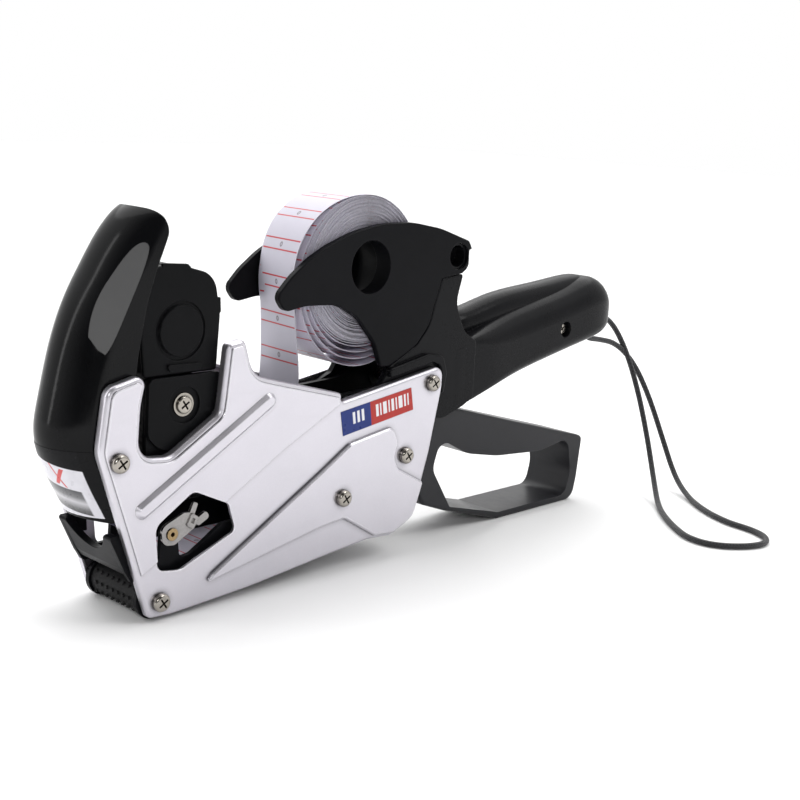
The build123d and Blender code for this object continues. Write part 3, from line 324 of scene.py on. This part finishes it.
def paper(name, pale, shade, line_period=0.012):
    """Label tape. UV: x runs across the tape 0..1, y along it in metres. Labels with thin red rules
    between them and a small cut mark in the middle of each rule."""
    m = Mat(name)
    u = m.xyz(m.uv())
    along = m.math("FRACT", m.math("DIVIDE", u[1], line_period))
    rule = m.math("MAXIMUM", m.band(along, 0.330, 0.370, 0.004), m.band(along, 0.630, 0.670, 0.004))
    rule = m.math("MULTIPLY", rule, m.band(u[0], 0.025, 0.975, 0.006))
    # half-punched oval between the two rules
    du = m.math("DIVIDE", m.math("SUBTRACT", u[0], 0.5), 0.036)
    dv = m.math("DIVIDE", m.math("SUBTRACT", along, 0.5), 0.075)
    rad = m.math("ADD", m.math("MULTIPLY", du, du), m.math("MULTIPLY", dv, dv))
    slit = m.math("MULTIPLY", m.remap(rad, 0.8, 1.15, 1.0, 0.0), m.remap(rad, 0.05, 0.5, 0.35, 1.0))
    g = m.noise(900.0, 4.0, 0.7)
    cloud = m.noise(60.0, 3.0, 0.5)
    col = m.mix(m.remap(cloud, 0.3, 0.7, 0.0, 1.0), pale, shade)
    col = m.mix(rule, col, (0.52, 0.030, 0.045))
    col = m.mix(m.math("MULTIPLY", slit, 0.8), col, (0.11, 0.075, 0.10))
    m.put(Base_Color=col, Roughness=m.remap(g, 0.3, 0.7, 0.42, 0.58))
    m.b.inputs["Coat Weight"].default_value = 0.06
    m.normal(m.math("SUBTRACT", m.math("MULTIPLY", g, 0.3), m.math("MULTIPLY", slit, 1.0)), 0.25, 0.00008)
    return m.m


TAPE = paper("label_tape", (0.585, 0.565, 0.655), (0.635, 0.615, 0.705))
m = Mat("tape_edge")
v = m.uv()
g = m.noise(1400.0, 3.0, 0.6)
m.put(Base_Color=m.mix(m.remap(g, 0.3, 0.7, 0.0, 1.0), (0.26, 0.25, 0.285), (0.42, 0.405, 0.455)), Roughness=m.remap(g, 0.2, 0.8, 0.6, 0.8))
m.normal(g, 0.3, 0.00006)
TAPE_EDGE = m.m


def ribbon_mesh(name, pts, y0, y1, thick, body, start=0.0, wob=None):
    """A tape along (x, z) points: thin closed strip with face material 0 and edge material 1."""
    verts, uvs, faces, mats = [], [], [], []
    s = start
    n = len(pts)
    for i, (x, z) in enumerate(pts):
        if i:
            s += math.hypot(x - pts[i - 1][0], z - pts[i - 1][1])
        a, b = pts[max(0, i - 1)], pts[min(n - 1, i + 1)]
        dx, dz = b[0] - a[0], b[1] - a[1]
        l = math.hypot(dx, dz) or 1.0
        nx, nz = -dz / l * thick / 2, dx / l * thick / 2
        w = wob(i / (n - 1)) if wob else ((0, 0), (0, 0))
        yo = w[2] if len(w) > 2 else 0.0
        for (yy, uu, (ox, oz)) in ((y0, 0.0, w[0]), (y1, 1.0, w[1])):
            for sg in (1, -1):
                verts.append(((x + nx * sg + ox) * MM, (yy + yo) * MM, (z + nz * sg + oz) * MM))
                uvs.append((uu, s * MM))
    for i in range(n - 1):
        a, b = 4 * i, 4 * (i + 1)
        faces += [(a, a + 2, b + 2, b), (a + 1, b + 1, b + 3, a + 3), (a, b, b + 1, a + 1), (a + 2, a + 3, b + 3, b + 2)]
        mats += [0, 0, 1, 1]
    faces += [(0, 1, 3, 2), (4 * n - 4, 4 * n - 2, 4 * n - 1, 4 * n - 3)]
    mats += [1, 1]
    o = piece(name, verts, faces, TAPE, body, uvs=uvs)
    o.data.materials.append(TAPE_EDGE)
    o.data.polygons.foreach_set("material_index", mats)
    o.data.set_sharp_from_angle(angle=math.radians(40))
    return o


# ---- label roll: a tightly wound tape; the loose outer turns belong to the strip below
RC = (-12.5, 99.2)
TURNS = 34
R_IN, R_OUT = 13.7, 23.7
SEG = 72
pts = []
for k in range(TURNS * SEG + 1):
    t = k / SEG
    f = t / TURNS
    a = math.pi + 2 * math.pi * t
    low = (0.5 - 0.5 * math.sin(a)) ** 1.5
    r = R_IN + (R_OUT - R_IN) * f
    r += low * 0.20 * math.sin(f * 47.0 + 1.4 * math.sin(a * 2 + f * 9)) * (f * (1 - f) * 4)
    pts.append((RC[0] + r * math.cos(a), RC[1] + r * math.sin(a)))


def stagger(t):
    """Uneven turns: the edges of the tape do not lie in one plane."""
    q = 0.16 * math.sin(t * 61.0) + 0.10 * math.sin(t * 173.0 + 1.0)
    return ((0.0, 0.0), (0.0, 0.0), q)


roll = ribbon_mesh("label_roll_tape", pts, -10.2, 10.2, 0.20, "label_roll", wob=stagger)
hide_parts("label_roll")


def rounded(route, step=1.2):
    """Dense points along (x, z, radius) corners."""
    out = [(route[0][0], route[0][1])]
    for i in range(1, len(route) - 1):
        ax, az = route[i - 1][:2]; bx, bz, r = route[i]; cx, cz = route[i + 1][:2]
        ux, uz, vx, vz = ax - bx, az - bz, cx - bx, cz - bz
        lu, lv = math.hypot(ux, uz), math.hypot(vx, vz)
        ux, uz, vx, vz = ux / lu, uz / lu, vx / lv, vz / lv
        an = math.acos(max(-1, min(1, ux * vx + uz * vz)))
        t = r / math.tan(an / 2)
        p0 = (bx + ux * t, bz + uz * t); p1 = (bx + vx * t, bz + vz * t)
        bl = math.hypot(ux + vx, uz + vz); d = r / math.sin(an / 2)
        ox, oz = bx + (ux + vx) / bl * d, bz + (uz + vz) / bl * d
        a0 = math.atan2(p0[1] - oz, p0[0] - ox); a1 = math.atan2(p1[1] - oz, p1[0] - ox)
        da = (a1 - a0 + math.pi) % (2 * math.pi) - math.pi
        k = max(4, int(abs(da) * r / step) + 3)
        q0 = out[-1]
        m_ = max(1, int(math.hypot(p0[0] - q0[0], p0[1] - q0[1]) / step))
        out += [(q0[0] + (p0[0] - q0[0]) * j / m_, q0[1] + (p0[1] - q0[1]) * j / m_) for j in range(1, m_ + 1)]
        out += [(ox + r * math.cos(a0 + da * j / k), oz + r * math.sin(a0 + da * j / k)) for j in range(1, k + 1)]
    q0, p0 = out[-1], route[-1]
    m_ = max(1, int(math.hypot(p0[0] - q0[0], p0[1] - q0[1]) / step))
    out += [(q0[0] + (p0[0] - q0[0]) * j / m_, q0[1] + (p0[1] - q0[1]) * j / m_) for j in range(1, m_ + 1)]
    return out


# radii of the loose turns at the left, bottom, right and top of each turn, from the inside out
LOOSE = [24.0, 24.1, 24.0, 24.0, 24.3, 25.0, 24.2, 24.15, 25.1, 26.9, 24.45, 24.3, 26.3, 29.2, 24.8, 24.5, 27.5, 31.6, 25.3, 24.8]
loops = []
for q in range((len(LOOSE) - 1) * 18 + 1):
    i, t = divmod(q, 18)
    t /= 18.0
    g4 = [LOOSE[min(max(i + d, 0), len(LOOSE) - 1)] for d in (-1, 0, 1, 2)]
    r = 0.5 * (2 * g4[1] + (g4[2] - g4[0]) * t + (2 * g4[0] - 5 * g4[1] + 4 * g4[2] - g4[3]) * t * t + (3 * g4[1] - g4[0] - 3 * g4[2] + g4[3]) * t ** 3)
    a = math.pi + (i + t) * math.pi / 2
    loops.append((RC[0] + r * math.cos(a), RC[1] + r * math.sin(a)))
# from the top of the roll over to the left and down into the tool
A0, A1, A2, A3 = loops[-1], (loops[-1][0] - 17.5, loops[-1][1] + 0.4), (-42.2, 113.0), (-40.9, 96.0)
for q in range(1, 26):
    t = q / 26.0
    u_ = 1 - t
    loops.append(tuple(A0[k] * u_ ** 3 + 3 * A1[k] * u_ * u_ * t + 3 * A2[k] * u_ * t * t + A3[k] * t ** 3 for k in (0, 1)))
ROUTE = [(-40.9, 96.0), (-38.9, 69.0, 70), (-42.35, 15.5, 5.1), (-80.0, 15.55, 30), (-99.9, 15.4, 1.2), (-99.6, 12.9, 1.2), (-65.25, 13.0, 4.7), (-65.2, 2.6)]
path = loops + rounded(ROUTE)
LEN = [0.0]
for p_, q_ in zip(path, path[1:]):
    LEN.append(LEN[-1] + math.hypot(q_[0] - p_[0], q_[1] - p_[1]))
FREE = next(l for l, p_ in zip(LEN, path) if l > LEN[len(loops) - 26])


def lean(t):
    """The free stretch bows a little and twists: its near edge hangs further forward."""
    i = int(round(t * (len(path) - 1)))
    d = (LEN[i] - FREE) / 88.0
    k = math.sin(math.pi * min(1.0, max(0.0, d))) ** 2 if 0 < d < 1 else 0.0
    yo = 0.25 * math.sin(i * 0.11) if i < len(loops) - 26 else 0.0
    return ((-1.8 * k, 0.0), (1.2 * k, 0.0), yo)


strip = ribbon_mesh("label_strip_tape", path, -10.2, 10.2, 0.20, "frame", start=3.0, wob=lean)
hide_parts("label_strip")

# ---------------------------------------------------------------- stickers
m = Mat("side_film")
x, y, z = m.xyz()[:3]
u = m.math("ADD", m.math("MULTIPLY", m.math("ADD", x, 0.0205), 0.990), m.math("MULTIPLY", m.math("SUBTRACT", z, 0.052), 0.145))
w = m.math("SUBTRACT", m.math("MULTIPLY", m.math("SUBTRACT", z, 0.052), 0.990), m.math("MULTIPLY", m.math("ADD", x, 0.0205), 0.145))
right = m.n("ShaderNodeMapRange", {"clamp": True}, i0=u, i1=0.0070, i2=0.0072, i3=0.0, i4=1.0).outputs[0]
g = m.noise(300.0, 3.0, 0.5)
blue = m.mix(m.remap(g, 0.3, 0.7, 0.0, 1.0), (0.012, 0.028, 0.165), (0.016, 0.034, 0.19))
red = m.mix(m.remap(g, 0.3, 0.7, 0.0, 1.0), (0.40, 0.030, 0.024), (0.46, 0.038, 0.030))
col = m.mix(right, blue, red)
mark = None
def addm(a_, b_):
    return b_ if a_ is None else m.math("MAXIMUM", a_, b_)
for c0 in (-0.0010, 0.0010, 0.0030):
    mark = addm(mark, m.math("MULTIPLY", m.band(u, c0, c0 + 0.0011, 0.0001), m.band(w, -0.0025 + 0.0007, 0.0022, 0.0001)))
for c0, wd in ((0.0095, .0012), (0.0114, .0006), (0.0128, .0017), (0.0153, .0006), (0.0167, .0012), (0.0187, .0006), (0.0201, .0018), (0.0227, .0008), (0.0243, .0006)):
    mark = addm(mark, m.math("MULTIPLY", m.band(u, c0, c0 + wd, 0.00008), m.band(w, -0.0022, 0.0020, 0.0001)))
col = m.mix(mark, col, (0.80, 0.80, 0.82))
m.put(Base_Color=col, Roughness=m.remap(g, 0.3, 0.7, 0.26, 0.36))
m.b.inputs["Specular IOR Level"].default_value = 0.25
m.normal(g, 0.06, 0.00006, 0.0001)
SIDEFILM = m.m

m = Mat("front_film")
x, y, z = m.xyz()[:3]
g = m.noise(260.0, 3.0, 0.5)
col = m.mix(m.remap(g, 0.3, 0.7, 0.0, 1.0), (0.62, 0.61, 0.66), (0.70, 0.69, 0.74))
# grey ramp of a pictured roller; the print is set a little askew
zt = m.math("SUBTRACT", z, m.math("MULTIPLY", y, 0.16))
grad = m.remap(zt, 0.03515, 0.0431, 1.0, 0.0)
pic = m.math("MULTIPLY", m.band(zt, 0.03515, 0.0431, 0.0001), m.band(y, -0.0087, 0.0087, 0.0002))
col = m.mix(pic, col, m.ramp(grad, [(0.0, (0.05, 0.05, 0.055)), (0.30, (0.15, 0.15, 0.16)), (0.52, (0.52, 0.51, 0.54)), (0.64, (0.34, 0.335, 0.355)), (0.82, (0.11, 0.11, 0.115)), (1.0, (0.03, 0.03, 0.033))]))
# a plain cross
d1 = m.math("ABSOLUTE", m.math("SUBTRACT", m.math("MULTIPLY", m.math("ADD", y, 0.0016), 0.886), m.math("MULTIPLY", m.math("SUBTRACT", zt, 0.0500), 0.4635)))
d2 = m.math("ABSOLUTE", m.math("ADD", m.math("MULTIPLY", m.math("ADD", y, 0.0057), 0.8506), m.math("MULTIPLY", m.math("SUBTRACT", zt, 0.0495), 0.526)))
cr1 = m.math("MULTIPLY", m.remap(d1, 0.00022, 0.00034, 1.0, 0.0), m.band(zt, 0.0434, 0.0501, 0.0001))
cr2 = m.math("MULTIPLY", m.remap(d2, 0.00050, 0.00062, 1.0, 0.0), m.band(zt, 0.0439, 0.0494, 0.0001))
col = m.mix(m.math("MAXIMUM", cr1, cr2), col, (0.56, 0.060, 0.058))
top = m.remap(zt, 0.0500, 0.0501, 0.0, 1.0)
col = m.mix(top, col, (0.006, 0.006, 0.007))
# the printed face stops short of the cover's flanks
face = m.band(y, -0.0108, 0.0108, 0.0001)
col = m.mix(face, (0.004, 0.004, 0.0046), col)
pale = m.math("MULTIPLY", face, m.math("SUBTRACT", 1.0, top))
m.put(Base_Color=col, Roughness=m.remap(g, 0.3, 0.7, 0.25, 0.36), Specular_IOR_Level=m.remap(pale, 0.0, 1.0, 0.05, 0.5), Coat_Weight=m.remap(pale, 0.0, 1.0, 0.14, 0.25))
m.normal(g, 0.05, 0.00006)
FRONTFILM = m.m

# ---------------------------------------------------------------- materials on the frame's nodes
use = {
    "side_plate_left": PLATE, "side_plate_right": PLATE,
    "body_shell_left": BLACK, "body_shell_right": BLACK, "roll_arm_left": BLACK_TEX, "roll_arm_right": BLACK_TEX,
    "front_cover": COVER, "trigger": TRIG, "head_housing": HEADM, "head_side_cover": HEADM, "print_arm": HEADM,
    "lower_frame": BLACK_TEX, "platen": BLACK, "head_window": CLEAR, "print_nose": BLACK, "bottom_gate": BLACK_TEX,
    "guide_roller": BLACK_TEX, "ink_holder": BLACK_TEX, "selector_knob": BLACK_TEX, "roller_end_caps": BLACK,
    "applicator_roller": RUBBER, "feed_wheel": RUBBER, "ink_roller": INK, "print_bands": BAND, "roll_core": BLACK_TEX, "arm_spacer": BLACK,
    "lever_eyelet": BRASS, "side_sticker": SIDEFILM, "front_sticker": FRONTFILM,
}
for k in ("plate_screws", "head_screw", "head_screw_ring", "handle_screw"):
    use[k] = NICKEL
use["feed_lever"] = LEVERM
for k, o in N.items():
    mt = use.get(k)
    if mt is None:
        mt = BLACK_TEX if k.startswith("band_wheel") else STEEL
    o.data.materials.clear()
    o.data.materials.append(mt)
    o.data.polygons.foreach_set("material_index", [0] * len(o.data.polygons))

# ---------------------------------------------------------------- floor and light
bpy.ops.mesh.primitive_plane_add(size=6.0, location=(0, 0, 0))
floor = bpy.context.object
floor.name = "floor"
m = Mat("floor_pale")
g = m.noise(3.0, 2.0, 0.5)
m.put(Base_Color=m.mix(g, (0.93, 0.93, 0.93), (0.95, 0.95, 0.95)), Roughness=m.remap(g, 0.0, 1.0, 0.9, 1.0))
m.b.inputs["Specular IOR Level"].default_value = 0.0
floor.data.materials.append(m.m)

bpy.context.scene.view_settings.view_transform = "Standard"
w = bpy.data.worlds.new("studio")
bpy.context.scene.world = w
w.use_nodes = True
wt = w.node_tree
bg = next(n for n in wt.nodes if n.type == "BACKGROUND")
# white surround and a brighter sky, with a dim part behind the viewer
bg.inputs[0].default_value = (1.0, 1.0, 1.0, 1)


def wnode(kind, props=None, **ins):
    nd = wt.nodes.new(kind)
    for k_, v_ in (props or {}).items():
        setattr(nd, k_, v_)
    for k_, v_ in ins.items():
        sock_ = nd.inputs[int(k_[1:])]
        if isinstance(v_, bpy.types.NodeSocket):
            wt.links.new(v_, sock_)
        else:
            sock_.default_value = v_
    return nd.outputs[0]


wdir = wt.nodes.new("ShaderNodeTexCoord").outputs["Generated"]
wdot = wt.nodes.new("ShaderNodeVectorMath")
wdot.operation = "DOT_PRODUCT"
wt.links.new(wdir, wdot.inputs[0])
wdot.inputs[1].default_value = (-0.46, -0.72, 0.52)
wz = wt.nodes.new("ShaderNodeSeparateXYZ")
wt.links.new(wdir, wz.inputs[0])
low = wnode("ShaderNodeMapRange", {"clamp": True}, i0=wdot.outputs["Value"], i1=0.30, i2=0.82, i3=1.0, i4=0.04)
up_ = wnode("ShaderNodeMapRange", {"clamp": True}, i0=wz.outputs[2], i1=0.30, i2=0.80, i3=0.0, i4=1.0)
gain = wnode("ShaderNodeMath", {"operation": "MULTIPLY_ADD"}, i0=up_, i1=0.35, i2=1.0)
wt.links.new(wnode("ShaderNodeMath", {"operation": "MULTIPLY"}, i0=low, i1=gain), bg.inputs[1])


def area(name, loc, target, size, power, color=(1, 1, 1), sy=None):
    d = bpy.data.lights.new(name, "AREA")
    d.energy = power
    d.color = color
    d.shape = "RECTANGLE"
    d.size = size
    d.size_y = sy or size
    o = bpy.data.objects.new(name, d)
    o.location = loc
    o.rotation_euler = (Vector(target) - Vector(loc)).to_track_quat("-Z", "Y").to_euler()
    bpy.context.scene.collection.objects.link(o)
    return o


area("key", (0.45, -0.70, 1.00), (0, 0, 0.06), 0.5, 4.0)
area("facet", (-0.66, -0.83, 0.47), (-0.11, 0, 0.09), 0.25, 2.1)
area("strip", (-0.85, 0.45, 0.45), (-0.1, 0, 0.07), 0.10, 1.4, sy=0.9)
sun = bpy.data.lights.new("sky", "SUN")
sun.energy = 1.7
sun.angle = 1.3
so = bpy.data.objects.new("sky", sun)
so.rotation_euler = (Vector((0, 0, 0)) - Vector((0.35, 0.55, 1.0))).to_track_quat("-Z", "Y").to_euler()
bpy.context.scene.collection.objects.link(so)
